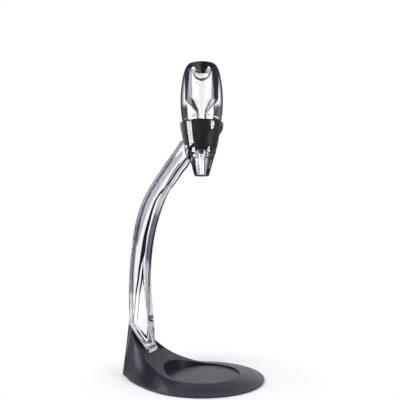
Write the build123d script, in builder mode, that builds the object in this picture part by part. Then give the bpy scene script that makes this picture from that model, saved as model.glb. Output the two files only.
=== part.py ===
"""Wine aerator on a serving tower: a clear aerator dropped into the ring of a clear curved arm,
which plugs into the tall tail of a weighted teardrop base with a round seat for a glass.

Millimetres. The origin is on the table, under the middle of the glass seat, +Z is up and the
tail and arm are at -X. "Back" values are distances from the seat's axis towards -X.
"""
from build123d import *
import math
import os

os.makedirs("parts", exist_ok=True)

# Clearances and the overrun of cuts
slide_gap = 0.3  # between pieces that lift apart
fit_gap = 0.1  # between pieces assembled once
overrun = 2.0

# Base outline and heights
base_radius = 79.0
tail_reach = 109.0  # end of the tail at the table
tail_start_share = 0.38  # of the disc's radius, where the sides of the tail leave the disc
cap_depth = 11.0  # of the rounded end of the tail
cap_half_width = 23.75
pad_thickness = 0.8
rim_height = 2.8
seat_radius = 48.4
seat_floor_height = 6.0
seat_rim_height = 8.0

# The scooped slope that climbs the tail, a cylinder lying along Y
slope_axis_back = 4.0
recess_depth = 2.0
recess_lip_step = 2.3  # from the arm's foot to the lip of the recess round it
recess_lip_radius = 300.0
recess_rim = 2.4  # width of the slope left standing at each side of the recess
peak_height = 71.0
peak_lean = 8.6  # how far the end of the tail leans in up to its peak
peak_land = 1.15  # flat top of the end wall

# Stations of the tail, as shares of cap_start, and the run of its side wall for one of rise
station_shares = (0.04, 0.19, 0.36, 0.53, 0.70, 0.86, 1.0)
wall_run_shares = (6.6, 4.4, 2.59, 1.42, 0.717, 0.355, 0.18)
first_station_rise_share = 0.94  # the front of the tail stays just under the seat's rim
buried_rim = 1.2  # how far the front stations lie inside the disc
station_headroom = 3.0

# Shell, cover, pad and weight
shell_wall = 2.2
seat_wall = 1.6
cover_thickness = 1.6
cover_inset = 6.0
pad_inset = 2.0
hollow_edge_height = 0.5  # of the hollow, where it ends under the disc's thin edge
hollow_stations = (3, 4, 5)
recess_stations = (3, 4, 5, 6)
weight_boss_gap = 0.9
weight_thickness = 1.8
weight_neck_thickness = 1.2
weight_block_width = 52.0
weight_block_height = 8.0
weight_block_corner = 4.0

# Screws that hold the cover
screw_radius = 1.1
screw_head_radius = 2.3
screw_head_height = 1.1
screw_length = 3.4
screw_circle_inset = 6.7
screw_boss_radius = 3.4
tail_screw_inset = 10.0
screw_angles = (35, 95, -35, -95)

# Arm: a clear bar with a wedge-shaped foot, a tongue below it and a ring at its top
arm_width = 21.6
arm_edge_radius = 2.0
foot_flare = 1.0  # how far the foot stands out from the bar at each side
foot_edge_radius = 0.9
foot_side_clearance = 0.5  # in the recess
foot_rear_step = 2.0  # from the tail's peak
foot_length = 31.1
foot_front_clearance = 1.1  # above the recess
foot_rear_clearance = 1.8
toe_height = 6.7
heel_height = 3.2
bar_front_step = 2.4
tongue_rear_step = 7.4
tongue_length = 14.0
tongue_width = 12.0
tongue_depth = 15.05  # below the foot, at the tongue's front
tongue_corner = 1.5

# Ring and the cone that the grip band and the ring share
ring_top_height = 327.0
ring_wall = 3.0
ring_edge_radius = 2.5
ring_height = 27.1  # from its top to where the sloping underside crosses the aerator's axis
ring_cut_angle = 37.2
ring_cover = 5.0  # how far the ring stands above the band
band_length = 28.3
band_top_radius = 24.4
band_foot_radius = 19.1
band_thickness = 2.4
band_edge_radius = 1.6

# Bar curves, as shares of (bar reach, ring height)
arm_bulge = 0.8  # how far the bar leans back past its foot
outer_curve_shares = ((1.0, 0.352), (0.953, 0.526), (0.799, 0.698), (0.499, 0.833), (0.262, 0.928))
inner_curve_shares = ((0.738, 0.26), (0.762, 0.361), (0.722, 0.535), (0.549, 0.7025), (0.253, 0.845))

# Socket and its ribbed liner
socket_wall = 3.0
boss_front_step = 5.4
boss_rear_step = 2.4
socket_floor = 3.0
liner_thickness = 1.0
liner_inset = 0.6
liner_rib_height = 0.7
liner_rib_width = 1.0
liner_rib_count = 12

# Vessel
vessel_height = 78.0  # above the band
vessel_radius = 27.1
vessel_shoulder_step = 1.5
vessel_lip_wall = 2.9
vessel_lip_round = 1.2
mouth_radius = 16.1
mouth_depth = 10.4
ledge_width = 2.1
bowl_round = 12.0
throat_round = 4.0  # where the funnel runs into the neck
funnel_height = 15.5
neck_radius = 4.3
neck_rise = 17.5  # top of the neck above the band
spout_bore_radius = 3.8
spigot_wall = 2.1
spigot_length = 10.0
# Outside of the bullet from its shoulder up, as shares of (vessel radius, height above the shoulder)
bullet_shares = ((0.93, 0.118), (0.978, 0.246), (1.0, 0.436), (0.985, 0.567), (0.919, 0.746), (0.83, 0.89))
air_hole_radius = 0.8
air_hole_drop = 1.5
air_hole_angle = 23.7

# Spout
collar_height = 5.6
collar_step = 0.6
spout_length = 34.4
spout_foot_radius = 9.2
spout_edge_radius = 1.5
seal_drop = 2.6
seal_height = 2.2
seal_groove_depth = 1.0

# Diffuser
diffuser_ring_width = 3.8
diffuser_ring_height = 9.0
diffuser_edge = 0.8
cup_wall = 1.4
cup_rim_width = 1.4
cup_rim_thickness = 1.3
cup_rim_rise = 3.4  # rim's underside above the ring's foot
cup_hole_radius = 1.6
cup_hole_count = 4
cup_hole_low_angle = 24
cup_hole_high_angle = 77

# Outline of the base: an arc that touches the disc runs to the corner of the tail's rounded end
tail_start = tail_start_share * base_radius
side_corner = math.sqrt(base_radius**2 - tail_start**2)
cap_start = tail_reach - cap_depth
side_run = cap_start - tail_start
side_fall = side_corner - cap_half_width
side_turn = side_fall * side_corner - side_run * tail_start
side_radius = base_radius * (side_run**2 + side_fall**2) / (2 * side_turn)

# Slope: it starts level with the seat's rim and ends at the land on the tail's peak
peak_back = tail_reach - peak_lean
slope_run = peak_back - peak_land - slope_axis_back
slope_rise = peak_height - seat_rim_height
slope_radius = (slope_run**2 + slope_rise**2) / (2 * slope_rise)
slope_axis_height = seat_rim_height + slope_radius

# Heights up the aerator's axis
band_top_height = ring_top_height - ring_cover
band_foot_height = band_top_height - band_length
ring_cut_height = ring_top_height - ring_height
vessel_top_height = band_top_height + vessel_height
ledge_height = vessel_top_height - mouth_depth
neck_top_height = band_top_height + neck_rise
bowl_floor_height = neck_top_height + funnel_height


def side_half_width(back):
    """Half-width of the base at the table: the disc, then an arc tangent to it."""
    if back <= tail_start:
        return math.sqrt(base_radius**2 - back**2)
    reach = 1 - side_radius / base_radius
    return side_corner * reach + math.sqrt(side_radius**2 - (back - tail_start * reach) ** 2)


def slope_height(back, sunk=0):
    """Height of the scooped slope, or of a surface sunk below it."""
    return slope_axis_height - math.sqrt((slope_radius + sunk) ** 2 - (back - slope_axis_back) ** 2)


def cone_radius(height):
    """Outside radius of the grip band's cone, continued above and below the band."""
    grow = (band_top_radius - band_foot_radius) / (band_top_height - band_foot_height)
    return band_foot_radius + grow * (height - band_foot_height)


def teardrop(inset):
    """The base's outline on the table, drawn in by an even inset."""
    corner = side_corner
    cap = cap_half_width
    middle_back = (tail_start + cap_start) / 2
    middle = side_half_width(middle_back)
    with BuildSketch() as outline:
        with BuildLine():
            ThreePointArc((-tail_start, -corner), (base_radius, 0), (-tail_start, corner))
            ThreePointArc((-tail_start, corner), (-middle_back, middle), (-cap_start, cap))
            ThreePointArc((-cap_start, cap), (-tail_reach, 0), (-cap_start, -cap))
            ThreePointArc((-cap_start, -cap), (-middle_back, -middle), (-tail_start, -corner))
        make_face()
        if inset > 0:
            offset(amount=-inset)
    return outline.sketch


def tail_sections(wall, floor, stations):
    """Cross-sections of the tail, or of the hollow inside it when a wall is given."""
    sections = []
    for number in stations:
        back = station_shares[number] * cap_start
        run = wall_run_shares[number]
        half = side_half_width(back) - wall * math.hypot(1, run)
        top = slope_height(back) + station_headroom
        if number == 0:
            top = rim_height + (seat_rim_height - rim_height) * first_station_rise_share
        if back < tail_start:
            half = half - buried_rim
        top_half = half - run * (top - rim_height)
        with BuildSketch(Plane.YZ.offset(-back)) as section:
            with BuildLine():
                Polyline(
                    (-half, floor),
                    (half, floor),
                    (half, rim_height),
                    (top_half, top),
                    (-top_half, top),
                    (-half, rim_height),
                    close=True,
                )
            make_face()
        sections.append(section.sketch)
    return sections


def cap_face(height, half, end):
    """Half-round slice of the tail's end at one height."""
    with BuildSketch(Plane.XY.offset(height)) as slice_sketch:
        with BuildLine():
            ThreePointArc((-cap_start, half), (-end, 0), (-cap_start, -half))
            Line((-cap_start, -half), (-cap_start, half))
        make_face()
    return slice_sketch.sketch


# Places worked out from the sizes above
cover_top = pad_thickness + cover_thickness
disc_fall = (seat_rim_height - rim_height) / (base_radius - seat_radius)  # for one outwards
hollow_edge_top = cover_top + hollow_edge_height
hollow_radius = base_radius - (hollow_edge_top + seat_wall - rim_height) / disc_fall
screw_circle_radius = hollow_radius - screw_circle_inset
weight_radius = screw_circle_radius - screw_boss_radius - weight_boss_gap
foot_rear_back = peak_back - foot_rear_step
foot_front_back = foot_rear_back - foot_length
foot_front_low = slope_height(foot_front_back, recess_depth) + foot_front_clearance
foot_rear_low = slope_height(foot_rear_back, recess_depth) + foot_rear_clearance
foot_front_high = foot_front_low + toe_height
foot_rear_high = foot_rear_low + heel_height
foot_rise = (foot_rear_low - foot_front_low) / foot_length
foot_tilt = math.hypot(1, foot_rise)
liner_drop = slide_gap + (liner_thickness + liner_rib_height) * foot_tilt
boss_front = foot_front_back + boss_front_step
boss_rear = foot_rear_back - boss_rear_step
cap_top = peak_height + station_headroom
cap_top_half = cap_half_width - wall_run_shares[-1] * (cap_top - rim_height)
cap_top_end = tail_reach - peak_lean * (cap_top - rim_height) / (peak_height - rim_height)
screw_spots = [(tail_screw_inset - tail_reach, 0)]
for angle in screw_angles:
    turn = math.radians(angle)
    screw_spots.append((screw_circle_radius * math.cos(turn), screw_circle_radius * math.sin(turn)))
boss_reach = screw_circle_radius + screw_boss_radius
boss_top = rim_height + disc_fall * (base_radius - boss_reach) - seat_wall / 2


def foot_line(back, lower=0):
    """Height of the foot's underside, or of a line below it."""
    return foot_front_low + foot_rise * (back - foot_front_back) - lower


tongue_rear_back = foot_rear_back - tongue_rear_step
tongue_front_back = tongue_rear_back - tongue_length
tongue_foot_height = foot_line(tongue_front_back) - tongue_depth
recess_lip_back = foot_front_back - recess_lip_step

# Base shell. The recess keeps a rim of the slope at each side until the tail is as narrow as the foot
recess_side = []
for number in recess_stations:
    back = station_shares[number] * cap_start
    slope_half = side_half_width(back) - wall_run_shares[number] * (slope_height(back) - rim_height)
    recess_side.append((-back, slope_half - recess_rim))
recess_rear_back = foot_rear_back + slide_gap
recess_front_half = recess_side[0][1]
foot_bed_width = arm_width + 2 * (foot_flare + foot_side_clearance)
with BuildPart() as recess_cutter:
    with BuildSketch(Plane.XY):
        with BuildLine():
            Spline(*recess_side)
            Spline(*[(x, -y) for x, y in recess_side])
            Line(recess_side[0], (recess_side[0][0], -recess_front_half))
            Line(recess_side[-1], (recess_side[-1][0], -recess_side[-1][1]))
        make_face()
        with Locations((-recess_rear_back, 0)):
            Rectangle(recess_rear_back, foot_bed_width, align=(Align.MIN, Align.CENTER))
        with Locations((-(recess_lip_back + recess_lip_radius), 0)):
            Circle(recess_lip_radius, mode=Mode.INTERSECT)
    extrude(amount=slope_axis_height)
    with BuildSketch(Plane.XZ):
        with Locations((-slope_axis_back, slope_axis_height)):
            Circle(slope_radius + recess_depth)
    extrude(amount=base_radius, both=True, mode=Mode.INTERSECT)

with BuildPart() as base_hollow:
    loft(tail_sections(shell_wall, cover_top, hollow_stations))
    with BuildSketch(Plane.XZ):
        with Locations((-slope_axis_back, slope_axis_height)):
            Circle(slope_radius + recess_depth + shell_wall)
    extrude(amount=base_radius, both=True, mode=Mode.SUBTRACT)
    with BuildSketch(Plane.XZ):
        with BuildLine():
            under_seat = seat_floor_height - seat_wall
            hollow_seat = seat_radius + seat_wall
            Polyline(
                (0, cover_top),
                (hollow_radius, cover_top),
                (hollow_radius, hollow_edge_top),
                (hollow_seat, seat_rim_height - disc_fall * seat_wall - seat_wall),
                (hollow_seat, under_seat),
                (0, under_seat),
                close=True,
            )
        make_face()
    revolve(axis=Axis.Z)

with BuildPart() as base_shell:
    loft(tail_sections(0, pad_thickness, range(len(station_shares))))
    loft(
        [
            cap_face(rim_height, cap_half_width, tail_reach),
            cap_face(cap_top, cap_top_half, cap_top_end),
        ],
        ruled=True,
    )
    extrude(cap_face(pad_thickness, cap_half_width, tail_reach), amount=rim_height - pad_thickness)
    with BuildSketch(Plane.XZ):
        with Locations((-slope_axis_back, slope_axis_height)):
            Circle(slope_radius)
    extrude(amount=base_radius, both=True, mode=Mode.SUBTRACT)
    add(recess_cutter.part, mode=Mode.SUBTRACT)
    with BuildSketch(Plane.XY.offset(peak_height)):
        with Locations((-tail_reach, 0)):
            Rectangle(base_radius, base_radius)
    extrude(amount=slope_radius, mode=Mode.SUBTRACT)
    with BuildSketch(Plane.XY.offset(seat_floor_height)):
        Circle(seat_radius)
    extrude(amount=slope_radius, mode=Mode.SUBTRACT)
    with BuildSketch(Plane.XZ):
        with BuildLine():
            Polyline(
                (0, pad_thickness),
                (base_radius, pad_thickness),
                (base_radius, rim_height),
                (seat_radius, seat_rim_height),
                (seat_radius, seat_floor_height),
                (0, seat_floor_height),
                close=True,
            )
        make_face()
    revolve(axis=Axis.Z)
    add(base_hollow.part, mode=Mode.SUBTRACT)
    extrude(
        Plane.XY.offset(pad_thickness) * teardrop(cover_inset - fit_gap),
        amount=cover_thickness,
        mode=Mode.SUBTRACT,
    )
    # The socket's column stands inside the tail and shows as a low boss on the slope
    with BuildSketch(Plane.XZ):
        with BuildLine():
            Polyline(
                (-boss_front, tongue_foot_height - slide_gap - socket_floor),
                (-boss_rear, tongue_foot_height - slide_gap - socket_floor),
                (-boss_rear, foot_line(boss_rear, liner_drop)),
                (-boss_front, foot_line(boss_front, liner_drop)),
                close=True,
            )
        make_face()
    extrude(amount=tongue_width / 2 + socket_wall, both=True)
    with BuildSketch(Plane.XY.offset(tongue_foot_height - slide_gap)):
        with Locations((-(tongue_front_back + tongue_length / 2), 0)):
            RectangleRounded(tongue_length + 2 * slide_gap, tongue_width + 2 * slide_gap, tongue_corner)
    extrude(amount=slope_radius, mode=Mode.SUBTRACT)
    # Screw bosses reach down to the cover
    with BuildSketch(Plane.XY.offset(cover_top)):
        with Locations(screw_spots[1:]):
            Circle(screw_boss_radius)
    extrude(amount=boss_top - cover_top)
    with BuildSketch(Plane.XY.offset(pad_thickness)):
        with Locations(screw_spots):
            Circle(screw_radius + fit_gap)
    extrude(amount=screw_length + fit_gap, mode=Mode.SUBTRACT)
base_shell.part.label = "base_shell"
export_step(base_shell.part, "parts/base_shell.step")

# Cast weight: a plate under the seat with a thicker block towards the tail
weight_foot = cover_top + fit_gap
block_front = station_shares[hollow_stations[0]] * cap_start + fit_gap
block_length = boss_front - fit_gap - block_front
block_middle = block_front + block_length / 2
with BuildPart() as base_weight:
    with BuildSketch(Plane.XY.offset(weight_foot)):
        Circle(weight_radius)
    extrude(amount=weight_thickness)
    with BuildSketch(Plane.XY.offset(weight_foot)):
        with Locations((-block_middle / 2, 0)):
            Rectangle(block_middle, weight_block_width)
    extrude(amount=weight_neck_thickness)
    with BuildSketch(Plane.XY.offset(weight_foot)):
        with Locations((-block_middle, 0)):
            RectangleRounded(block_length, weight_block_width, weight_block_corner)
    extrude(amount=weight_block_height)
base_weight.part.label = "base_weight"
export_step(base_weight.part, "parts/base_weight.step")

# Cover plate that closes the base from below
with BuildPart() as base_cover:
    extrude(Plane.XY.offset(pad_thickness) * teardrop(cover_inset), amount=cover_thickness)
    with Locations(Plane.XY.offset(pad_thickness)):
        with Locations([(x, y) for x, y in screw_spots]):
            Cone(
                screw_head_radius + fit_gap,
                screw_radius + fit_gap,
                screw_head_height,
                align=(Align.CENTER, Align.CENTER, Align.MIN),
                mode=Mode.SUBTRACT,
            )
            Cylinder(
                screw_radius + fit_gap,
                cover_thickness,
                align=(Align.CENTER, Align.CENTER, Align.MIN),
                mode=Mode.SUBTRACT,
            )
base_cover.part.label = "base_cover"
export_step(base_cover.part, "parts/base_cover.step")

# Countersunk screws, one group
with BuildPart() as cover_screws:
    with Locations(Plane.XY.offset(pad_thickness)):
        with Locations([(x, y) for x, y in screw_spots]):
            Cone(
                screw_head_radius,
                screw_radius,
                screw_head_height,
                align=(Align.CENTER, Align.CENTER, Align.MIN),
            )
            Cylinder(screw_radius, screw_length, align=(Align.CENTER, Align.CENTER, Align.MIN))
cover_screws.part.label = "cover_screws"
export_step(cover_screws.part, "parts/cover_screws.step")

# Thin rubber pad over the whole underside
with BuildPart() as base_pad:
    extrude(teardrop(pad_inset), amount=pad_thickness)
base_pad.part.label = "base_pad"
export_step(base_pad.part, "parts/base_pad.step")

# Ribbed rubber liner on the boss, under the arm's foot
liner_foot = liner_drop
liner_top = liner_drop - liner_thickness * foot_tilt
rib_top = slide_gap
rib_pitch = (boss_rear - boss_front) / liner_rib_count
with BuildPart() as foot_liner:
    with BuildSketch(Plane.XZ):
        with BuildLine():
            Polyline(
                (-boss_front, foot_line(boss_front, liner_foot)),
                (-boss_rear, foot_line(boss_rear, liner_foot)),
                (-boss_rear, foot_line(boss_rear, liner_top)),
                (-boss_front, foot_line(boss_front, liner_top)),
                close=True,
            )
        make_face()
        for rib in range(liner_rib_count):
            rib_front = boss_front + (rib + 0.5) * rib_pitch - liner_rib_width / 2
            rib_rear = rib_front + liner_rib_width
            with BuildLine():
                Polyline(
                    (-rib_front, foot_line(rib_front, liner_foot)),
                    (-rib_rear, foot_line(rib_rear, liner_foot)),
                    (-rib_rear, foot_line(rib_rear, rib_top)),
                    (-rib_front, foot_line(rib_front, rib_top)),
                    close=True,
                )
            make_face()
    extrude(amount=arm_width / 2 - liner_inset, both=True)
    with BuildSketch(Plane.XY):
        with Locations((-(tongue_front_back + tongue_length / 2), 0)):
            RectangleRounded(tongue_length + 2 * slide_gap, tongue_width + 2 * slide_gap, tongue_corner)
    extrude(amount=slope_radius, mode=Mode.SUBTRACT)
foot_liner.part.label = "foot_liner"
export_step(foot_liner.part, "parts/foot_liner.step")

# Ring sleeve: a cone cut off by a sloping underside
ring_foot_height = ring_cut_height - band_top_radius * math.tan(math.radians(ring_cut_angle)) - overrun
with BuildPart() as ring_sleeve:
    with BuildSketch(Plane.XZ):
        with BuildLine():
            Polyline(
                (0, ring_foot_height),
                (cone_radius(ring_foot_height) + slide_gap + ring_wall, ring_foot_height),
                (cone_radius(ring_top_height) + slide_gap + ring_wall, ring_top_height),
                (0, ring_top_height),
                close=True,
            )
        make_face()
    revolve(axis=Axis.Z)
    fillet(ring_sleeve.faces().sort_by(Axis.Z)[-1].edges(), ring_edge_radius)
    split(
        bisect_by=Plane(
            origin=(0, 0, ring_cut_height),
            z_dir=(-math.sin(math.radians(ring_cut_angle)), 0, math.cos(math.radians(ring_cut_angle))),
        ),
        keep=Keep.TOP,
    )

# Arm: bar, foot, tongue and ring in one clear moulding. The foot stands out a little round the bar
with BuildPart() as arm_foot:
    with BuildSketch(Plane.XZ):
        with BuildLine():
            Polyline(
                (-foot_rear_back, foot_rear_high),
                (-foot_rear_back, foot_rear_low),
                (-foot_front_back, foot_front_low),
                (-foot_front_back, foot_front_high),
                close=True,
            )
        make_face()
    extrude(amount=arm_width / 2 + foot_flare, both=True)
    rear_edges = arm_foot.faces().sort_by(Axis.X)[0].edges()
    fillet(arm_foot.edges() - rear_edges, foot_edge_radius)

bar_reach = foot_rear_back + arm_bulge
outer_points = [(-reach * bar_reach, rise * ring_top_height) for reach, rise in outer_curve_shares]
inner_points = [(-reach * bar_reach, rise * ring_top_height) for reach, rise in inner_curve_shares]
bar_front_back = foot_front_back + bar_front_step
inner_start = (-bar_front_back, foot_line(bar_front_back) + heel_height / 2)
outer_start = (-foot_rear_back, foot_rear_low + heel_height / 2)
ring_bite = (band_top_radius - band_thickness) / 2  # the bar's end lies inside the ring's wall
with BuildPart() as arm:
    with BuildSketch(Plane.XZ):
        with BuildLine():
            Spline(inner_start, *inner_points)
            Polyline(
                inner_points[-1],
                (-ring_bite, inner_points[-1][1] + ring_bite),
                (-ring_bite, outer_points[-1][1]),
                outer_points[-1],
            )
            Spline(outer_start, *outer_points)
            Line(outer_start, inner_start)
        make_face()
    extrude(amount=arm_width / 2, both=True)
    fillet(
        arm.edges().filter_by(GeomType.BSPLINE).filter_by(Axis.Y, reverse=True),
        arm_edge_radius,
    )
    add(ring_sleeve.part)
    add(arm_foot.part)
    with BuildSketch(Plane.XZ):
        with BuildLine():
            bore_foot = ring_foot_height - band_top_radius
            bore_top = ring_top_height + overrun
            Polyline(
                (0, bore_foot),
                (cone_radius(band_foot_height) + slide_gap, bore_foot),
                (cone_radius(band_foot_height) + slide_gap, band_foot_height),
                (cone_radius(bore_top) + slide_gap, bore_top),
                (0, bore_top),
                close=True,
            )
        make_face()
    revolve(axis=Axis.Z, mode=Mode.SUBTRACT)
    with BuildSketch(Plane.XY.offset(tongue_foot_height)):
        with Locations((-(tongue_front_back + tongue_length / 2), 0)):
            RectangleRounded(tongue_length, tongue_width, tongue_corner)
    extrude(amount=foot_line(tongue_front_back + tongue_length) - tongue_foot_height)
arm.part.label = "arm"
export_step(arm.part, "parts/arm.step")

# Vessel: thick clear bullet with a bowl, a neck, slanting air holes and a spigot below
spigot_foot = band_foot_height - spigot_length
spigot_radius = spout_bore_radius + spigot_wall
vessel_shoulder_radius = band_top_radius - vessel_shoulder_step
vessel_lip_radius = mouth_radius + vessel_lip_wall
bowl_radius = mouth_radius - ledge_width
bullet_points = [
    (reach * vessel_radius, band_top_height + rise * vessel_height) for reach, rise in bullet_shares
]
lip_point = (vessel_lip_radius, vessel_top_height - vessel_lip_round)
with BuildPart() as vessel:
    with BuildSketch(Plane.XZ):
        with BuildLine():
            Polyline(
                (spout_bore_radius, spigot_foot),
                (spigot_radius, spigot_foot),
                (spigot_radius, band_foot_height),
                (cone_radius(band_foot_height) - band_thickness, band_foot_height),
                (cone_radius(band_top_height) - band_thickness, band_top_height),
                (vessel_shoulder_radius, band_top_height),
            )
            Spline((vessel_shoulder_radius, band_top_height), *bullet_points, lip_point)
            Polyline(
                lip_point,
                (vessel_lip_radius - vessel_lip_round, vessel_top_height),
                (mouth_radius, vessel_top_height),
                (mouth_radius, ledge_height),
                (bowl_radius, ledge_height),
                (bowl_radius, bowl_floor_height),
                (neck_radius, neck_top_height),
                (neck_radius, band_foot_height),
                (spout_bore_radius, band_foot_height),
                (spout_bore_radius, spigot_foot),
            )
        make_face()
        bowl_corners = vertices().filter_by_position(Axis.X, bowl_radius - fit_gap, bowl_radius + fit_gap)
        fillet(bowl_corners.sort_by(Axis.Y)[0], bowl_round)
        neck_corners = vertices().filter_by_position(Axis.X, neck_radius - fit_gap, neck_radius + fit_gap)
        fillet(neck_corners.sort_by(Axis.Y)[-1], throat_round)
    revolve(axis=Axis.Z)
    for side in (1, -1):
        slant = math.radians(air_hole_angle)
        with BuildSketch(
            Plane(
                origin=(0, 0, neck_top_height - air_hole_drop + neck_radius * math.tan(slant)),
                z_dir=(side * math.cos(slant), 0, -math.sin(slant)),
            )
        ):
            Circle(air_hole_radius)
        extrude(amount=vessel_radius / math.cos(slant), mode=Mode.SUBTRACT)
    # Groove for the seal
    with BuildSketch(Plane.XZ):
        with Locations((spigot_radius, band_foot_height - seal_drop)):
            Rectangle(2 * seal_groove_depth, seal_height + 2 * fit_gap)
    revolve(axis=Axis.Z, mode=Mode.SUBTRACT)
vessel.part.label = "vessel"
export_step(vessel.part, "parts/vessel.step")

# Soft grip band over the vessel's cone
with BuildPart() as grip_band:
    with BuildSketch(Plane.XZ):
        with BuildLine():
            Polyline(
                (band_foot_radius - band_thickness + fit_gap, band_foot_height),
                (band_foot_radius, band_foot_height),
                (band_top_radius, band_top_height - fit_gap),
                (band_top_radius - band_thickness + fit_gap, band_top_height - fit_gap),
                close=True,
            )
        make_face()
    revolve(axis=Axis.Z)
    fillet(grip_band.edges().filter_by(GeomType.CIRCLE).sort_by(SortBy.RADIUS)[-1], band_edge_radius)
grip_band.part.label = "grip_band"
export_step(grip_band.part, "parts/grip_band.step")

# Spout: a collar, a clear cone and a socket for the spigot
spout_top = band_foot_height - slide_gap
spout_foot_height = spout_top - spout_length
collar_foot = spout_top - collar_height
collar_top_radius = cone_radius(spout_top) - collar_step / 2
collar_foot_radius = cone_radius(collar_foot)
with BuildPart() as spout:
    with BuildSketch(Plane.XZ):
        with BuildLine():
            Polyline(
                (spout_bore_radius, spout_foot_height),
                (spout_foot_radius, spout_foot_height),
                (collar_foot_radius - collar_step, collar_foot),
                (collar_foot_radius, collar_foot),
                (collar_top_radius, spout_top),
                (spigot_radius + fit_gap, spout_top),
                (spigot_radius + fit_gap, spigot_foot - fit_gap),
                (spout_bore_radius, spigot_foot - fit_gap),
                close=True,
            )
        make_face()
    revolve(axis=Axis.Z)
    foot_edges = spout.faces().sort_by(Axis.Z)[0].edges().filter_by(GeomType.CIRCLE).sort_by(SortBy.RADIUS)
    fillet(foot_edges[-1], spout_edge_radius)
    chamfer(foot_edges[0], spout_edge_radius / 2)
spout.part.label = "spout"
export_step(spout.part, "parts/spout.step")

# Seal squeezed between the spigot and the spout
with BuildPart() as spout_seal:
    with BuildSketch(Plane.XZ):
        with Locations((spigot_radius - seal_groove_depth / 2, band_foot_height - seal_drop)):
            RectangleRounded(seal_groove_depth, seal_height, seal_groove_depth / 3)
    revolve(axis=Axis.Z)
spout_seal.part.label = "spout_seal"
export_step(spout_seal.part, "parts/spout_seal.step")

# Diffuser: a black ring that hangs in the mouth and a clear holed cup under it
diffuser_ring_radius = mouth_radius - slide_gap
cup_radius = diffuser_ring_radius - diffuser_ring_width
cup_rim_radius = cup_radius + cup_rim_width
ring_foot = ledge_height + slide_gap
rim_foot = ring_foot + cup_rim_rise
with BuildPart() as diffuser_ring:
    with BuildSketch(Plane.XZ):
        with BuildLine():
            Polyline(
                (cup_radius + fit_gap, ring_foot),
                (diffuser_ring_radius, ring_foot),
                (diffuser_ring_radius, ring_foot + diffuser_ring_height),
                (cup_rim_radius + fit_gap, ring_foot + diffuser_ring_height),
                (cup_rim_radius + fit_gap, rim_foot),
                (cup_radius + fit_gap, rim_foot),
                close=True,
            )
        make_face()
    revolve(axis=Axis.Z)
    top_edges = diffuser_ring.faces().sort_by(Axis.Z)[-1].edges()
    fillet(top_edges, diffuser_edge)
diffuser_ring.part.label = "diffuser_ring"
export_step(diffuser_ring.part, "parts/diffuser_ring.step")

with BuildPart() as diffuser_cup:
    cup_centre = ring_foot
    with BuildSketch(Plane.XZ):
        with BuildLine():
            CenterArc((0, cup_centre), cup_radius, -90, 90)
            Polyline(
                (cup_radius, cup_centre),
                (cup_radius, rim_foot),
                (cup_rim_radius, rim_foot),
                (cup_rim_radius, rim_foot + cup_rim_thickness),
                (cup_radius - cup_wall, rim_foot + cup_rim_thickness),
                (cup_radius - cup_wall, cup_centre),
            )
            CenterArc((0, cup_centre), cup_radius - cup_wall, -90, 90)
            Line((0, cup_centre - cup_radius + cup_wall), (0, cup_centre - cup_radius))
        make_face()
    revolve(axis=Axis.Z)
    for tilt in (cup_hole_low_angle, cup_hole_high_angle):
        for turn in range(cup_hole_count):
            lean = math.radians(tilt)
            spin = math.radians(360 / cup_hole_count * (turn + 0.5))
            outward = (
                math.sin(lean) * math.cos(spin),
                math.sin(lean) * math.sin(spin),
                -math.cos(lean),
            )
            with BuildSketch(Plane(origin=(0, 0, cup_centre), z_dir=outward)):
                Circle(cup_hole_radius)
            extrude(amount=cup_radius + overrun, mode=Mode.SUBTRACT)
diffuser_cup.part.label = "diffuser_cup"
export_step(diffuser_cup.part, "parts/diffuser_cup.step")
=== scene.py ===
"""Looks of the wine aerator set: materials, stage, light and camera round the fixed frame."""
import math

import bmesh
import bpy
import numpy as np
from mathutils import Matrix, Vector


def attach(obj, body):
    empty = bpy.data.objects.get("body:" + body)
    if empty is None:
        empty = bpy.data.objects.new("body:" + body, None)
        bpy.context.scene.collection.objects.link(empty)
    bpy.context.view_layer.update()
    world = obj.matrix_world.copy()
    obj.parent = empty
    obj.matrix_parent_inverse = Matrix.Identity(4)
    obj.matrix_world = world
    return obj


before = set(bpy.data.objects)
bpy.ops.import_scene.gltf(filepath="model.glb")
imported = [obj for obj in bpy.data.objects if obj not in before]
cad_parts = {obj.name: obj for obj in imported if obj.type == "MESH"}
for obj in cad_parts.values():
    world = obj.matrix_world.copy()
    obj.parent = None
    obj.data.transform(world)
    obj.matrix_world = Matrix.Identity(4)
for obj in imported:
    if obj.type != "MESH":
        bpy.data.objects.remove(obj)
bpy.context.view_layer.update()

# Lengths are in metres and angles in degrees. Azimuths in the sky and on the floor count from +Y
# towards +X, and the camera's from -Y towards +X

# Camera: level, 0.67 m from the aerator's axis
CAMERA_PLACE = (0.2272, -0.6307, 0.190)
CAMERA_AZIMUTH = 20.0
LENS, SENSOR = 47.25, 36.0  # millimetres
SHIFT_UP = 0.075
NEAR_CLIP = 0.01

WHITE = (1.0, 1.0, 1.0)
ONE_OR_MORE = 0.5  # a path with more reflections, or passages, than this has at least one


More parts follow.
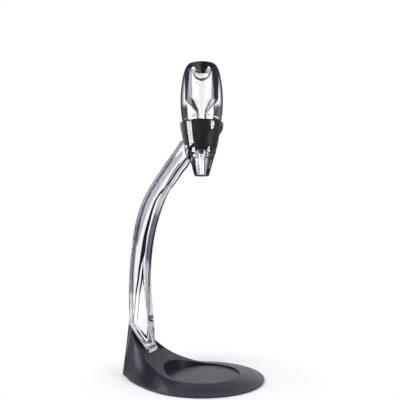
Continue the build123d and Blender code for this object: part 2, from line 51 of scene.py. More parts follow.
class Nodes:
    """A node tree, with short calls for the nodes that the materials and the sky use."""

    def __init__(self, tree):
        self.tree = tree

    def node(self, kind, **settings):
        made = self.tree.nodes.new(kind)
        for key, value in settings.items():
            setattr(made, key, value)
        return made

    def link(self, source, target):
        self.tree.links.new(source, target)

    def parts(self, vector):
        """The X, Y and Z of a vector."""
        made = self.node("ShaderNodeSeparateXYZ")
        self.link(vector, made.inputs[0])
        return made.outputs

    def spread(self, value, low, high, to_low, to_high, kind="LINEAR"):
        """to_low up to low, to_high from high on, and in between a straight or smooth step."""
        made = self.node("ShaderNodeMapRange", interpolation_type=kind)
        keys = ("From Min", "From Max", "To Min", "To Max")
        for key, number in zip(keys, (low, high, to_low, to_high)):
            made.inputs[key].default_value = number
        self.link(value, made.inputs["Value"])
        return made.outputs["Result"]

    def maths(self, operation, first, second=0.0):
        """An operation on one or two numbers, each a constant or a socket."""
        made = self.node("ShaderNodeMath", operation=operation)
        for socket, value in zip(made.inputs, (first, second)):
            if isinstance(value, float):
                socket.default_value = value
            else:
                self.link(value, socket)
        return made.outputs["Value"]

    def either(self, share, first, second):
        """The first number or the second, by a share from 0 to 1."""
        rest = self.maths("MULTIPLY", self.maths("SUBTRACT", 1.0, share), first)
        return self.maths("ADD", self.maths("MULTIPLY", share, second), rest)

    def toward(self, bearing, azimuth, count=1.0):
        """1 towards the azimuth and -1 away from it, or so as often as count says round the set."""
        turned = self.maths("SUBTRACT", bearing, math.radians(azimuth))
        return self.maths("COSINE", self.maths("MULTIPLY", turned, count))

    def path(self):
        """The light path, whether it was reflected, and whether it went through a clear piece."""
        ray = self.node("ShaderNodeLightPath").outputs
        reflected = self.maths("GREATER_THAN", ray["Glossy Depth"], ONE_OR_MORE)
        through = self.maths("GREATER_THAN", ray["Transmission Depth"], ONE_OR_MORE)
        return ray, reflected, through


class Shader(Nodes):
    """A material round one Principled shader."""

    def __init__(self, name):
        self.material = bpy.data.materials.new(name)
        self.material.use_nodes = True
        super().__init__(self.material.node_tree)
        self.main = self.tree.nodes["Principled BSDF"]
        self.output = self.tree.nodes["Material Output"]
        self.place = self.node("ShaderNodeTexCoord").outputs["Object"]

    def set(self, **values):
        """Constants on the main shader."""
        for key, value in values.items():
            self.main.inputs[key.replace("_", " ")].default_value = value

    def feed(self, **sources):
        """Sockets linked to the main shader."""
        for key, source in sources.items():
            self.link(source, self.main.inputs[key.replace("_", " ")])

    def stretched(self, scale):
        mapping = self.node("ShaderNodeMapping")
        mapping.inputs["Scale"].default_value = scale
        self.link(self.place, mapping.inputs["Vector"])
        return mapping.outputs["Vector"]

    def noise(self, scale, detail=4.0, roughness=0.55, place=None, distortion=0.0):
        made = self.node("ShaderNodeTexNoise")
        made.inputs["Scale"].default_value = scale
        made.inputs["Detail"].default_value = detail
        made.inputs["Roughness"].default_value = roughness
        made.inputs["Distortion"].default_value = distortion
        self.link(place or self.place, made.inputs["Vector"])
        return made.outputs["Fac"]

    def grains(self, scale):
        made = self.node("ShaderNodeTexVoronoi")
        made.inputs["Scale"].default_value = scale
        self.link(self.place, made.inputs["Vector"])
        return made.outputs["Distance"]

    def colours(self, value, *stops):
        ramp = self.node("ShaderNodeValToRGB")
        while len(ramp.color_ramp.elements) < len(stops):
            ramp.color_ramp.elements.new(0.5)
        for element, (position, colour) in zip(ramp.color_ramp.elements, stops):
            element.position = position
            element.color = (*colour, 1.0)
        self.link(value, ramp.inputs["Fac"])
        return ramp.outputs["Color"]

    def mixed(self, share, first, second):
        """One colour or the other, each a constant or a socket."""
        made = self.node("ShaderNodeMix", data_type="RGBA")
        self.link(share, made.inputs["Factor"])
        for socket, value in ((made.inputs["A"], first), (made.inputs["B"], second)):
            if isinstance(value, tuple):
                socket.default_value = (*value, 1.0)
            else:
                self.link(value, socket)
        return made.outputs["Result"]

    def zone(self, low, low_end, high, high_end):
        """1 between two heights of the part, fading out below and above them."""
        height = self.parts(self.place)["Z"]
        above = self.spread(height, low, low_end, 0.0, 1.0)
        below = self.spread(height, high, high_end, 1.0, 0.0)
        return self.maths("MULTIPLY", above, below)

    def bump(self, height, strength, distance, under=None):
        made = self.node("ShaderNodeBump")
        made.inputs["Strength"].default_value = strength
        made.inputs["Distance"].default_value = distance
        self.link(height, made.inputs["Height"])
        if under is not None:
            self.link(under, made.inputs["Normal"])
        return made.outputs["Normal"]

    def mix_in(self, other, share):
        """Another shader in place of the main one, by a share from 0 to 1."""
        blend = self.node("ShaderNodeMixShader")
        for socket, source in zip(blend.inputs, (share, self.main.outputs[0], other.outputs[0])):
            self.link(source, socket)
        self.link(blend.outputs[0], self.output.inputs["Surface"])


# ---------------------------------------------------------------- materials
def moulded_base():
    """Satin charcoal moulding with a fine eroded grain, faint sink marks and rubbed edges."""
    s = Shader("base_plastic")
    cloud = s.noise(9.0, 3.0)
    tint = s.colours(cloud, (0.3, (0.009, 0.008, 0.013)), (0.7, (0.014, 0.0125, 0.020)))
    rub = s.spread(s.node("ShaderNodeNewGeometry").outputs["Pointiness"], 0.52, 0.60, 0.0, 0.35)
    specks = s.spread(s.noise(2600.0, 2.0), 0.45, 0.75, 0.0, 0.10)
    smears = s.noise(38.0, 5.0, 0.6, s.stretched((1.0, 2.2, 1.0)), 0.4)
    grain = s.bump(s.noise(1500.0, 3.0, 0.6), 0.25, 0.00012)
    s.feed(
        Base_Color=s.mixed(s.maths("ADD", rub, specks), tint, (0.05, 0.048, 0.058)),
        Roughness=s.spread(smears, 0.3, 0.7, 0.30, 0.40),
        Normal=s.bump(s.noise(14.0, 1.0), 0.10, 0.0006, grain),
    )
    s.set(IOR=1.50, Specular_Tint=(0.86, 0.84, 1.0, 1.0))
    return s.material


CLEAR = (0.985, 0.985, 0.99)
CLEAR_IOR = 1.49
CLEAR_DENSITY = 9.0  # of the tint, per metre
EDGE_SHADE_START, EDGE_SHADE_FULL = -0.12, 0.08  # of the edge's painted shade colour, from the turn that a material names
NAVY_PAINTED_SHADE, NAVY_PAINTED_SHADE_TURNS = (0.03, 0.04, 0.08), (0.36, 0.46)  # colour and turns of the painted shade zone, a dark reflection painted on the arm's front face
CAUGHT_AFTER = 2.5  # a path with more reflections than this is caught between the foot's faces
# colour of the painted glow in the arm's foot
PAINTED_GLOW = (0.20, 0.21, 0.24, 1.0)


def clear_moulding(name, tint, edge, turn, flow, painted_shade_zone=None, painted_glow_zone=None, dark_rim_shade=None):
    """Clear acrylic: faint flow lines and fine polishing marks, with painted shade where it is seen
    edge-on, for the dark room seen through it at grazing angles.

    turn is how far from the eye, from 0 to 1, a face turns where it gets the edge's painted shade
    colour. The zones are heights, as zone() takes them: painted_shade_zone holds a painted dark
    reflection, painted_glow_zone a painted glow. dark_rim_shade is the turns where the painted dark
    outermost edge starts and is full, its greatest share and its colour.
    """
    s = Shader(name)
    s.set(IOR=CLEAR_IOR, Transmission_Weight=1.0)
    weight = s.node("ShaderNodeLayerWeight")
    weight.inputs["Blend"].default_value = 0.5
    facing = weight.outputs["Facing"]
    # Painted shade: faces seen edge-on darken to the edge's colour, for the dark surroundings seen
    # through them
    shade = s.colours(facing, (turn + EDGE_SHADE_START, CLEAR), (turn + EDGE_SHADE_FULL, edge), (1.0, edge))
    # Painted shade: a navy band on faces turned part way from the eye, between two heights, for the
    # dark room reflected inside the bar
    if painted_shade_zone is not None:
        turned = s.spread(facing, *NAVY_PAINTED_SHADE_TURNS, 0.0, 1.0)
        shade = s.mixed(s.maths("MULTIPLY", s.zone(*painted_shade_zone), turned), shade, NAVY_PAINTED_SHADE)
    marks = s.noise(420.0, 3.0, 0.6, s.stretched((1.0, 1.0, 0.25)))
    lines = s.noise(46.0, 2.0, 0.5, s.stretched((1.0, 1.0, 0.3)), 0.6)
    s.feed(
        Base_Color=shade,
        Roughness=s.spread(marks, 0.45, 0.8, 0.0, 0.035),
        Normal=s.bump(lines, 0.25, flow),
    )
    soak = s.node("ShaderNodeVolumeAbsorption")
    soak.inputs["Color"].default_value = (*tint, 1.0)
    soak.inputs["Density"].default_value = CLEAR_DENSITY
    s.link(soak.outputs["Volume"], s.output.inputs["Volume"])
    if painted_glow_zone is not None:
        # Painted light: the foot glows pale for paths caught between its many faces, which would
        # else end black
        depth = s.node("ShaderNodeLightPath").outputs["Glossy Depth"]
        caught = s.maths("GREATER_THAN", depth, CAUGHT_AFTER)
        s.set(Emission_Color=PAINTED_GLOW)
        s.feed(Emission_Strength=s.maths("MULTIPLY", caught, s.zone(*painted_glow_zone)))
    if dark_rim_shade is not None:
        # Painted shade: a dark diffuse rim mixed in on the outermost edge, as on a thick clear wall
        # seen along its surface
        low, high, most, colour = dark_rim_shade
        dark = s.node("ShaderNodeBsdfDiffuse")
        dark.inputs["Color"].default_value = (*colour, 1.0)
        s.mix_in(dark, s.spread(facing, low, high, 0.0, most))
    return s.material


def painted_shade_streak():
    """Painted shade: a dark contour inside the arm, streaked along its flow, for the dark edges
    seen through the clear bar.
    """
    s = Shader("painted_shade_streak")
    s.set(Specular_IOR_Level=0.0, Roughness=0.6)
    streaks = s.noise(220.0, 3.0, 0.6, s.stretched((1.0, 1.0, 0.12)))
    tone = s.colours(streaks, (0.35, (0.006, 0.007, 0.012)), (0.75, (0.030, 0.034, 0.050)))
    s.feed(Base_Color=tone)
    return s.material


def painted_shade_haze():
    """Painted shade: a faint grey transparent sheet inside the arm, darker low and lighter high,
    streaked along its flow and soft at its sides.
    """
    s = Shader("painted_shade_haze")
    haze = s.node("ShaderNodeBsdfTransparent")
    # Painted shade: darker grey lower down, lighter higher up
    rise = s.spread(s.parts(s.place)["Z"], 0.160, 0.215, 0.0, 1.0)
    tone = s.colours(rise, (0.0, (0.20, 0.23, 0.28)), (1.0, (0.47, 0.49, 0.54)))
    streaks = s.noise(260.0, 3.0, 0.6, s.stretched((1.0, 1.0, 0.15)))
    tone = s.mixed(s.spread(streaks, 0.35, 0.65, 0.0, 0.25), tone, (0.90, 0.91, 0.94))
    side = s.node("ShaderNodeAttribute", attribute_name="across")
    soft = s.spread(side.outputs["Fac"], 0.0, 0.35, 0.0, 1.0)
    s.link(s.mixed(soft, WHITE, tone), haze.inputs["Color"])
    s.link(haze.outputs[0], s.output.inputs["Surface"])
    return s.material


def soft_rubber(name, colour, rough, grain=1900.0):
    """Matte moulded rubber with a fine even grain and a faint cloudy tone."""
    s = Shader(name)
    low = tuple(c * 0.85 for c in colour)
    high = tuple(c * 1.25 for c in colour)
    pores = s.bump(s.grains(grain), 0.22, 0.00009)
    s.feed(
        Base_Color=s.colours(s.noise(60.0), (0.35, low), (0.7, high)),
        Roughness=s.spread(s.noise(150.0, 3.0), 0.3, 0.7, rough - 0.06, rough + 0.08),
        Normal=s.bump(s.noise(260.0, 2.0), 0.12, 0.00012, pores),
    )
    s.set(Specular_IOR_Level=0.25)
    return s.material


def gloss_black():
    """Polished black moulding with faint swirls from wiping."""
    s = Shader("black_plastic")
    cloud = s.noise(120.0, 3.0)
    swirls = s.noise(900.0, 4.0, 0.65, s.stretched((1.0, 1.0, 0.2)))
    s.feed(
        Base_Color=s.colours(cloud, (0.3, (0.006, 0.006, 0.007)), (0.7, (0.012, 0.012, 0.014))),
        Roughness=s.spread(swirls, 0.4, 0.75, 0.09, 0.20),
        Normal=s.bump(s.noise(300.0, 2.0), 0.08, 0.00008),
    )
    return s.material


def zinc_steel():
    """Zinc-plated screw heads, brushed round and lightly stained."""
    s = Shader("steel")
    s.set(Metallic=1.0)
    s.feed(
        Base_Color=s.colours(s.noise(500.0), (0.3, (0.42, 0.42, 0.43)), (0.7, (0.62, 0.62, 0.63))),
        Roughness=s.spread(s.noise(2400.0, 2.0), 0.3, 0.7, 0.28, 0.45),
        Normal=s.bump(s.noise(3000.0, 2.0), 0.2, 0.00004),
    )
    return s.material


def cast_iron():
    """Raw sand-cast plate."""
    s = Shader("iron")
    s.set(Metallic=0.6)
    crust = s.noise(300.0, 6.0, 0.7)
    s.feed(
        Base_Color=s.colours(crust, (0.3, (0.06, 0.058, 0.056)), (0.7, (0.15, 0.147, 0.145))),
        Roughness=s.spread(crust, 0.3, 0.7, 0.55, 0.8),
        Normal=s.bump(crust, 0.5, 0.0003),
    )
    return s.material


arm_acrylic = clear_moulding(
    "clear_acrylic",
    tint=(0.90, 0.90, 0.95), edge=(0.05, 0.06, 0.10), turn=0.84, flow=0.00002,
    painted_shade_zone=(0.138, 0.152, 0.208, 0.224), painted_glow_zone=(-0.02, -0.01, 0.16, 0.19),
)
thick_acrylic = clear_moulding(
    "clear_acrylic_vessel",
    tint=(0.90, 0.93, 0.93), edge=(0.025, 0.025, 0.042), turn=0.58, flow=0.00001,
    dark_rim_shade=(0.46, 0.70, 0.88, (0.012, 0.013, 0.028)),
)
base_plastic = moulded_base()
finishes = {
    "base_shell": base_plastic,
    "base_cover": base_plastic,
    "base_weight": cast_iron(),
    "cover_screws": zinc_steel(),
    "base_pad": soft_rubber("pad_rubber", (0.012, 0.012, 0.012), 0.72, 900.0),
    "foot_liner": soft_rubber("liner_rubber", (0.13, 0.135, 0.145), 0.45),
    "grip_band": soft_rubber("band_rubber", (0.006, 0.006, 0.0065), 0.5),
    "spout_seal": soft_rubber("seal_rubber", (0.010, 0.010, 0.010), 0.5),
    "diffuser_ring": gloss_black(),
    "arm": arm_acrylic,
    "vessel": thick_acrylic,
    "spout": thick_acrylic,
    "diffuser_cup": thick_acrylic,
}
for name, finish in finishes.items():
    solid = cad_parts[name]
    solid.data.materials.clear()
    solid.data.materials.append(finish)


# ---------------------------------------------------------------- painted shade lines, skin and painted shade haze
def lengths(points):
    """Length along the (x, z) points up to each of them."""
    steps = [0.0]
    for (x0, z0), (x1, z1) in zip(points, points[1:]):
        steps.append(steps[-1] + math.hypot(x1 - x0, z1 - z0))
    return steps


def smooth_line(points, count):
    """Natural cubic spline through the points, as (x, z) pairs at even steps of its length."""
    steps = lengths(points)
    known = np.array(points)
    size = len(points)
    gaps = np.diff(steps)
    system = np.zeros((size, size))
    right = np.zeros((size, 2))
    system[0, 0] = system[-1, -1] = 1.0
    for row in range(1, size - 1):
        system[row, row - 1:row + 2] = (gaps[row - 1], 2.0 * (gaps[row - 1] + gaps[row]), gaps[row])
        right[row] = 6.0 * (
            (known[row + 1] - known[row]) / gaps[row]
            - (known[row] - known[row - 1]) / gaps[row - 1]
        )
    bends = np.linalg.solve(system, right)
    line = []
    for number in range(count):
        along = steps[-1] * number / (count - 1)
        span = min(int(np.searchsorted(steps, along, side="right")) - 1, size - 2)
        ahead, behind = steps[span + 1] - along, along - steps[span]
        gap = gaps[span]
        line.append(
            bends[span] * ahead**3 / (6 * gap)
            + bends[span + 1] * behind**3 / (6 * gap)
            + (known[span] / gap - bends[span] * gap / 6) * ahead
            + (known[span + 1] / gap - bends[span + 1] * gap / 6) * behind
        )
    return line


def line_rings(stations, y, wide, count, corners):
    """Rings round a line beside the XZ plane. Each station is (x, z, half thickness)."""
    points = [station[:2] for station in stations]
    halves = [station[2] for station in stations]
    places = smooth_line(points, count)
    steps = lengths(points)
    rings = []
    for number, place in enumerate(places):
        thick = float(np.interp(number / (count - 1) * steps[-1], steps, halves))
        before, after = places[max(number - 1, 0)], places[min(number + 1, count - 1)]
        ahead = (after - before) / float(np.hypot(*(after - before)))
        ring = []
        for corner in range(corners):
            turn = 2.0 * math.pi * corner / corners
            out = math.cos(turn) * thick
            ring.append((
                float(place[0] + ahead[1] * out),
                y + math.sin(turn) * min(wide, thick),
                float(place[1] - ahead[0] * out),
            ))
        rings.append(ring)
    return rings


def turned_rings(section, count):
    """A section of (radius, z) points at even turns round the Z axis."""
    turns = [2.0 * math.pi * number / count for number in range(count)]
    return [[(r * math.cos(turn), r * math.sin(turn), z) for r, z in section] for turn in turns]


def add_piece(name, mesh, material):
    mesh.materials.append(material)
    piece = bpy.data.objects.new(name, mesh)
    bpy.context.scene.collection.objects.link(piece)
    return piece


def sheath(name, rings, material, closed=False, sharp_over=None):
    """Smooth skin through rings of points, back to the first ring or with both ends capped."""
    shape = bmesh.new()
    made = [[shape.verts.new(point) for point in ring] for ring in rings]
    for here, there in zip(made, made[1:] + made[:1] if closed else made[1:]):
        for corner in range(len(here)):
            after = (corner + 1) % len(here)
            shape.faces.new((here[corner], here[after], there[after], there[corner]))
    if not closed:
        shape.faces.new(list(reversed(made[0])))
        shape.faces.new(made[-1])
    bmesh.ops.recalc_face_normals(shape, faces=shape.faces)
    for face in shape.faces:
        face.smooth = True
    for edge in shape.edges:
        edge.smooth = sharp_over is None or edge.calc_face_angle(0.0) <= math.radians(sharp_over)
    mesh = bpy.data.meshes.new(name)
    shape.to_mesh(mesh)
    shape.free()
    return add_piece(name, mesh, material)


# Painted shade: dark tubes inside the arm, where the real bar's wide front edges show as dark
# contours: (x, z, half thickness)
STREAK_STATIONS = [
    (-0.01437, 0.28569, 0.00025),
    (-0.01738, 0.28202, 0.0007),
    (-0.02369, 0.27338, 0.0011),
    (-0.03005, 0.26635, 0.0011),
    (-0.03449, 0.26037, 0.00095),
    (-0.03868, 0.2546, 0.00085),
    (-0.04443, 0.24782, 0.00075),
    (-0.05106, 0.2409, 0.0009),
    (-0.05987, 0.22877, 0.00115),
    (-0.06618, 0.21324, 0.0016),
    (-0.07137, 0.1963, 0.00195),
    (-0.07542, 0.18059, 0.0024),
    (-0.07818, 0.16352, 0.0029),
    (-0.07993, 0.1543, 0.0026),
    (-0.08226, 0.14506, 0.0017),
    (-0.08387, 0.13713, 0.00145),
    (-0.08548, 0.12392, 0.0013),
    (-0.08797, 0.11065, 0.001),
    (-0.08944, 0.0974, 0.00085),
    (-0.09062, 0.08414, 0.00075),
    (-0.09224, 0.07216, 0.0006),
    (-0.09269, 0.06817, 0.0002),
]
STREAK_Y, STREAK_WIDE = 0.0088, 0.0011
STREAK_STEPS, STREAK_CORNERS = 160, 28

painted_shade_material = painted_shade_streak()
for side, name in ((-1.0, "arm_painted_shade_right"), (1.0, "arm_painted_shade_left")):
    rings = line_rings(
        STREAK_STATIONS, side * STREAK_Y, STREAK_WIDE, STREAK_STEPS, STREAK_CORNERS
    )
    streak = sheath(name, rings, painted_shade_material)
    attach(streak, "arm")

# Painted shade: thin dark tubes along its two outer edges, which show as thin dark lines: (x, z)
EDGE_POINTS = [
    (-0.09784, 0.08402),
    (-0.09809, 0.09601),
    (-0.09814, 0.10799),
    (-0.09785, 0.12195),
    (-0.09688, 0.13991),
    (-0.09498, 0.15986),
    (-0.09216, 0.17980),
    (-0.08806, 0.19972),
    (-0.08252, 0.21759),
    (-0.07530, 0.23346),
    (-0.06674, 0.24736),
    (-0.05815, 0.25931),
    (-0.05046, 0.26930),
    (-0.04344, 0.27830),
    (-0.03728, 0.28630),
]
EDGE_Y, EDGE_HALF = 0.00965, 0.00032
EDGE_STEPS, EDGE_CORNERS = 140, 12

edge_stations = [(x, z, EDGE_HALF) for x, z in EDGE_POINTS]
for side, name in ((-1.0, "arm_painted_edge_shade_right"), (1.0, "arm_painted_edge_shade_left")):
    rings = line_rings(edge_stations, side * EDGE_Y, EDGE_HALF, EDGE_STEPS, EDGE_CORNERS)
    thin = sheath(name, rings, painted_shade_material)
    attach(thin, "arm")

# The soft band touches the ring's bore all round, so the clear ring shows black through its whole
# width: (radius, z) round the section of a thin skin that closes the gap between the solids
SKIN_SECTION = [
    (0.01942, 0.2954), (0.02014, 0.2975), (0.02559, 0.3266), (0.02536, 0.3266),
    (0.02456, 0.3223), (0.0236, 0.3195), (0.0195, 0.2980),
]
SKIN_TURNS, SKIN_SHARP_OVER = 192, 28.0

rings = turned_rings(SKIN_SECTION, SKIN_TURNS)
skin = sheath("band_skin", rings, finishes["grip_band"], closed=True, sharp_over=SKIN_SHARP_OVER)
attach(skin, "aerator")

# Painted shade: a grey sheet on the arm's middle plane: (x, z) of its outer side, (x, z) of its
# inner side
HAZE_SIDES = [
    (-0.09009, 0.16839, -0.0895, 0.1684),
    (-0.09165, 0.18041, -0.08542, 0.18043),
    (-0.08927, 0.19644, -0.0804, 0.19641),
    (-0.08335, 0.21373, -0.07394, 0.21362),
    (-0.07746, 0.22959, -0.06636, 0.22937),
    (-0.06956, 0.24265, -0.05769, 0.24235),
    (-0.06346, 0.25238, -0.05109, 0.252),
    (-0.05682, 0.26138, -0.04425, 0.26093),
    (-0.05109, 0.26969, -0.03773, 0.26916),
    (-0.04453, 0.27661, -0.03224, 0.27608),
    (-0.034971, 0.28465, -0.026039, 0.28422),
    (-0.02537, 0.2913, -0.02445, 0.29126),
]
HAZE_STEPS, HAZE_ACROSS = 90, 8


def haze_mesh(name):
    """Sheet between the haze's two sides. Its attribute "across" is 0 at both and 1 midway."""
    outer_side = smooth_line([station[:2] for station in HAZE_SIDES], HAZE_STEPS)
    inner_side = smooth_line([station[2:] for station in HAZE_SIDES], HAZE_STEPS)
    places, middles = [], []
    for outer, inner in zip(outer_side, inner_side):
        for number in range(HAZE_ACROSS + 1):
            share = number / HAZE_ACROSS
            point = outer + (inner - outer) * share
            places.append((float(point[0]), 0.0, float(point[1])))
            middles.append(1.0 - abs(2.0 * share - 1.0))
    row = HAZE_ACROSS + 1
    faces = [
        (low + number, low + number + 1, low + number + 1 + row, low + number + row)
        for low in range(0, (HAZE_STEPS - 1) * row, row)
        for number in range(HAZE_ACROSS)
    ]
    mesh = bpy.data.meshes.new(name)
    mesh.from_pydata(places, [], faces)
    mesh.attributes.new("across", "FLOAT", "POINT").data.foreach_set("value", middles)
    return mesh


haze = add_piece("arm_painted_shade_haze", haze_mesh("arm_painted_shade_haze"), painted_shade_haze())
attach(haze, "arm")

# ---------------------------------------------------------------- stage
# Two strip lights, in the sky and on the far floor: azimuth, and the cosines from it where each
# starts and is full
STRIPS = ((-130.0, 0.955, 0.975), (101.0, 0.978, 0.990))

FLOOR_REACH, FLOOR_CELLS = 3.0, 8
FLOOR_DROP = 0.0002  # below the base pad, so that the two faces don't coincide
FLOOR_COLOUR, FLOOR_ROUGHNESS = (0.86, 0.86, 0.865, 1.0), 0.6
SHADOW_FADE = (0.085, 0.165)  # from the seat's axis, where the floor turns from lit to plain white

# What light that is kept in a clear piece finds on the floor, by its distance from the axis
KEPT_RANGE = (0.5, 1.5)
KEPT_TONES = (
    (0.0, (0.50, 0.52, 0.58)),
    (0.34, (0.33, 0.35, 0.41)),
    (0.62, (0.12, 0.14, 0.18)),
    (1.0, (0.05, 0.06, 0.09)),
)
GREY_SIDES_AZIMUTH, GREY_SIDES = 20.0, (0.0, 0.6)
DARK_SIDES_TONE = (0.04, 0.045, 0.06)
PALE_AZIMUTH, PALE_SIDE = -155.0, (0.6, 0.9)
PALE_TONE = (0.72, 0.74, 0.80)

# What a first reflection finds there
TABLE_LEVEL = 0.22
PATCH_AZIMUTH, PATCH_COSINES, PATCH_LEVEL = -146.0, (0.965, 0.985), 7.0
PATCH_NEAR, PATCH_FAR = (0.45, 0.55), (0.88, 1.0)
FLOOR_STRIP_NEAR, FLOOR_STRIP_LEVEL = (1.3, 1.6), 17.0

floor_mesh = bpy.data.meshes.new("floor")
floor_shape = bmesh.new()
bmesh.ops.create_grid(
    floor_shape, x_segments=FLOOR_CELLS, y_segments=FLOOR_CELLS, size=FLOOR_REACH
)
floor_shape.to_mesh(floor_mesh)
floor_shape.free()
floor = bpy.data.objects.new("floor", floor_mesh)
floor.location.z = -FLOOR_DROP
bpy.context.scene.collection.objects.link(floor)

paper = Shader("floor_paper")
paper.set(Base_Color=FLOOR_COLOUR, Roughness=FLOOR_ROUGHNESS)
ray, reflected, through = paper.path()
table = paper.parts(paper.place)
bearing = paper.maths("ARCTAN2", table["X"], table["Y"])
distance = paper.node("ShaderNodeVectorMath", operation="LENGTH")
paper.link(paper.place, distance.inputs[0])
distance = distance.outputs["Value"]

# Light kept inside a clear piece finds the table grey on two sides, and dark far off and elsewhere
two_sides = paper.toward(bearing, GREY_SIDES_AZIMUTH, 2.0)
tone = paper.colours(paper.spread(distance, *KEPT_RANGE, 0.0, 1.0), *KEPT_TONES)
tone = paper.mixed(paper.spread(two_sides, *GREY_SIDES, 1.0, 0.0), tone, DARK_SIDES_TONE)
pale_side = paper.toward(bearing, PALE_AZIMUTH)
tone = paper.mixed(paper.spread(pale_side, *PALE_SIDE, 0.0, 1.0), tone, PALE_TONE)
kept_in = paper.maths("MULTIPLY", reflected, through)

# First reflections find it grey, and on it a bright patch and the far strips
patch = paper.spread(paper.toward(bearing, PATCH_AZIMUTH), *PATCH_COSINES, 0.0, PATCH_LEVEL)
patch = paper.maths("MULTIPLY", patch, paper.spread(distance, *PATCH_NEAR, 0.0, 1.0))
patch = paper.maths("MULTIPLY", patch, paper.spread(distance, *PATCH_FAR, 1.0, 0.0))
far = paper.spread(distance, *FLOOR_STRIP_NEAR, 0.0, 1.0)
lit = paper.maths("ADD", patch, TABLE_LEVEL)
for azimuth, low, high in STRIPS:
    strip = paper.spread(paper.toward(bearing, azimuth), low, high, 0.0, FLOOR_STRIP_LEVEL)
    lit = paper.maths("ADD", lit, paper.maths("MULTIPLY", strip, far))
first = paper.maths("MULTIPLY", reflected, paper.maths("SUBTRACT", 1.0, through))

white = paper.node("ShaderNodeEmission")
paper.link(paper.mixed(kept_in, WHITE, tone), white.inputs["Color"])
paper.link(paper.either(first, 1.0, lit), white.inputs["Strength"])
shown = paper.maths("MAXIMUM", ray["Is Camera Ray"], ray["Is Glossy Ray"])
shown = paper.maths("MAXIMUM", shown, ray["Is Transmission Ray"])
fade = paper.spread(distance, *SHADOW_FADE, 0.0, 1.0)
paper.mix_in(white, paper.maths("MULTIPLY", fade, shown))
floor.data.materials.append(paper.material)

# ---------------------------------------------------------------- sky
# Cards round the set: how many, an azimuth, the cosines from it where a card starts and is full,
# and the levels off and on it. Rises: two heights of the ray's direction, and the levels below
# and above them
BACKDROP, BACKDROP_RISE = (1.0, -20.0, -0.3, 0.8, 0.22, 0.95), (0.25, 0.60, 1.0, 0.25)
STRIP_LEVEL = 5.0
STRIP_FOOT = (0.02, 0.07, 3.4, 1.0)
STRIP_LOW_END, STRIP_HIGH_END = (-0.20, -0.10, 0.0, 1.0), (0.70, 0.82, 1.0, 0.0)
SIDE_CARDS = (2.0, 80.0, 0.55, 0.85, 0.03, 0.45)
REAR_CARD = (1.0, -160.0, 0.75, 0.90, 0.0, 0.80)
HIGH_CARD, HIGH_CARD_RISE = (1.0, 20.0, 0.85, 0.95, 0.0, 0.75), (0.28, 0.36, 0.0, 1.0)
INNER_STRIPS = 0.8
INNER_CEILING = (0.55, 0.68, 0.0, 0.85)
WINDOWS, WINDOWS_RISE = (4.0, -16.0, -0.50, -0.05, 0.05, 1.0), (0.25, 0.30, 0.0, 1.0)
CEILING = (0.42, 0.50, 1.0, 0.05)
LESS_FOR_MATTE = 0.35
COOL, COOL_UP_TO = (0.72, 0.75, 1.0, 1.0), 0.85  # colour where it is dark, and the level of white

world = bpy.data.worlds.new("studio")
bpy.context.scene.world = world
world.use_nodes = True
sky = Nodes(world.node_tree)
backdrop = sky.tree.nodes["Background"]
ray, reflected, through = sky.path()
direction = sky.parts(sky.node("ShaderNodeTexCoord").outputs["Generated"])
bearing = sky.maths("ARCTAN2", direction["X"], direction["Y"])


def cards(count, azimuth, low, high, to_low, to_high):
    return sky.spread(sky.toward(bearing, azimuth, count), low, high, to_low, to_high, "SMOOTHSTEP")


def rise(low, high, to_low, to_high):
    return sky.spread(direction["Z"], low, high, to_low, to_high, "SMOOTHSTEP")


# First reflections: a bright backdrop, a dark room and ceiling, and two tall strip lights
left_strip, right_strip = (cards(1.0, *strip, 0.0, STRIP_LEVEL) for strip in STRIPS)
strips = sky.maths("MULTIPLY", sky.maths("ADD", left_strip, right_strip), rise(*STRIP_FOOT))
strip_span = sky.maths("MULTIPLY", rise(*STRIP_LOW_END), rise(*STRIP_HIGH_END))
outside = sky.maths("MULTIPLY", cards(*BACKDROP), rise(*BACKDROP_RISE))
outside = sky.maths("ADD", outside, sky.maths("MULTIPLY", strips, strip_span))

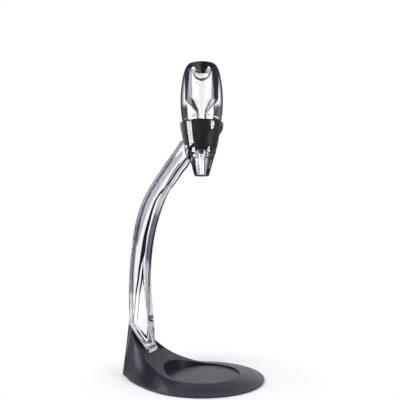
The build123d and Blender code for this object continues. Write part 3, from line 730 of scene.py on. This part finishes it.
# Light kept inside a clear piece: a dark room with a few bright cards
inside = sky.maths("ADD", cards(*SIDE_CARDS), cards(*REAR_CARD))
inside = sky.maths("ADD", inside, sky.maths("MULTIPLY", strips, INNER_STRIPS))
inside = sky.maths("ADD", inside, sky.maths("MULTIPLY", cards(*HIGH_CARD), rise(*HIGH_CARD_RISE)))
inside = sky.maths("MAXIMUM", inside, rise(*INNER_CEILING))

# Light that only passes through finds white round the horizon and a dark ceiling, and the eye
# sees white
passed = sky.either(rise(*WINDOWS_RISE), 1.0, cards(*WINDOWS))
passed = sky.maths("MULTIPLY", passed, rise(*CEILING))
level = sky.either(through, 1.0, passed)
level = sky.either(reflected, level, sky.either(through, outside, inside))
level = sky.maths("SUBTRACT", level, sky.maths("MULTIPLY", ray["Is Diffuse Ray"], LESS_FOR_MATTE))
sky.link(level, backdrop.inputs["Strength"])
cool = sky.node("ShaderNodeValToRGB")
sky.link(level, cool.inputs["Fac"])
cool.color_ramp.elements[0].color = COOL
cool.color_ramp.elements[1].position = COOL_UP_TO
sky.link(cool.outputs["Color"], backdrop.inputs["Color"])

# ---------------------------------------------------------------- lamps and camera
LAMP_TARGET = (0.0, 0.0, 0.15)
LAMPS = (  # place, side of the square, watts
    ("key", (-0.55, -0.75, 0.95), 0.5, 9.0),
    ("fill", (0.9, -0.35, 0.7), 0.6, 5.0),
)
for name, place, size, power in LAMPS:
    light = bpy.data.lights.new(name, "AREA")
    light.shape = "RECTANGLE"
    light.size = light.size_y = size
    light.energy = power
    lamp = bpy.data.objects.new(name, light)
    lamp.location = place
    lamp.rotation_mode = "QUATERNION"
    lamp.rotation_quaternion = (Vector(LAMP_TARGET) - Vector(place)).to_track_quat("-Z", "Y")
    lamp.visible_glossy = False
    bpy.context.scene.collection.objects.link(lamp)

camera_data = bpy.data.cameras.new("camera")
camera_data.lens = LENS
camera_data.sensor_width = SENSOR
camera_data.shift_y = SHIFT_UP
camera_data.clip_start = NEAR_CLIP
camera = bpy.data.objects.new("camera", camera_data)
camera.location = CAMERA_PLACE
camera.rotation_euler = (math.radians(90.0), 0.0, math.radians(CAMERA_AZIMUTH))
bpy.context.scene.collection.objects.link(camera)
bpy.context.scene.camera = camera
bpy.context.scene.view_settings.view_transform = "Standard"
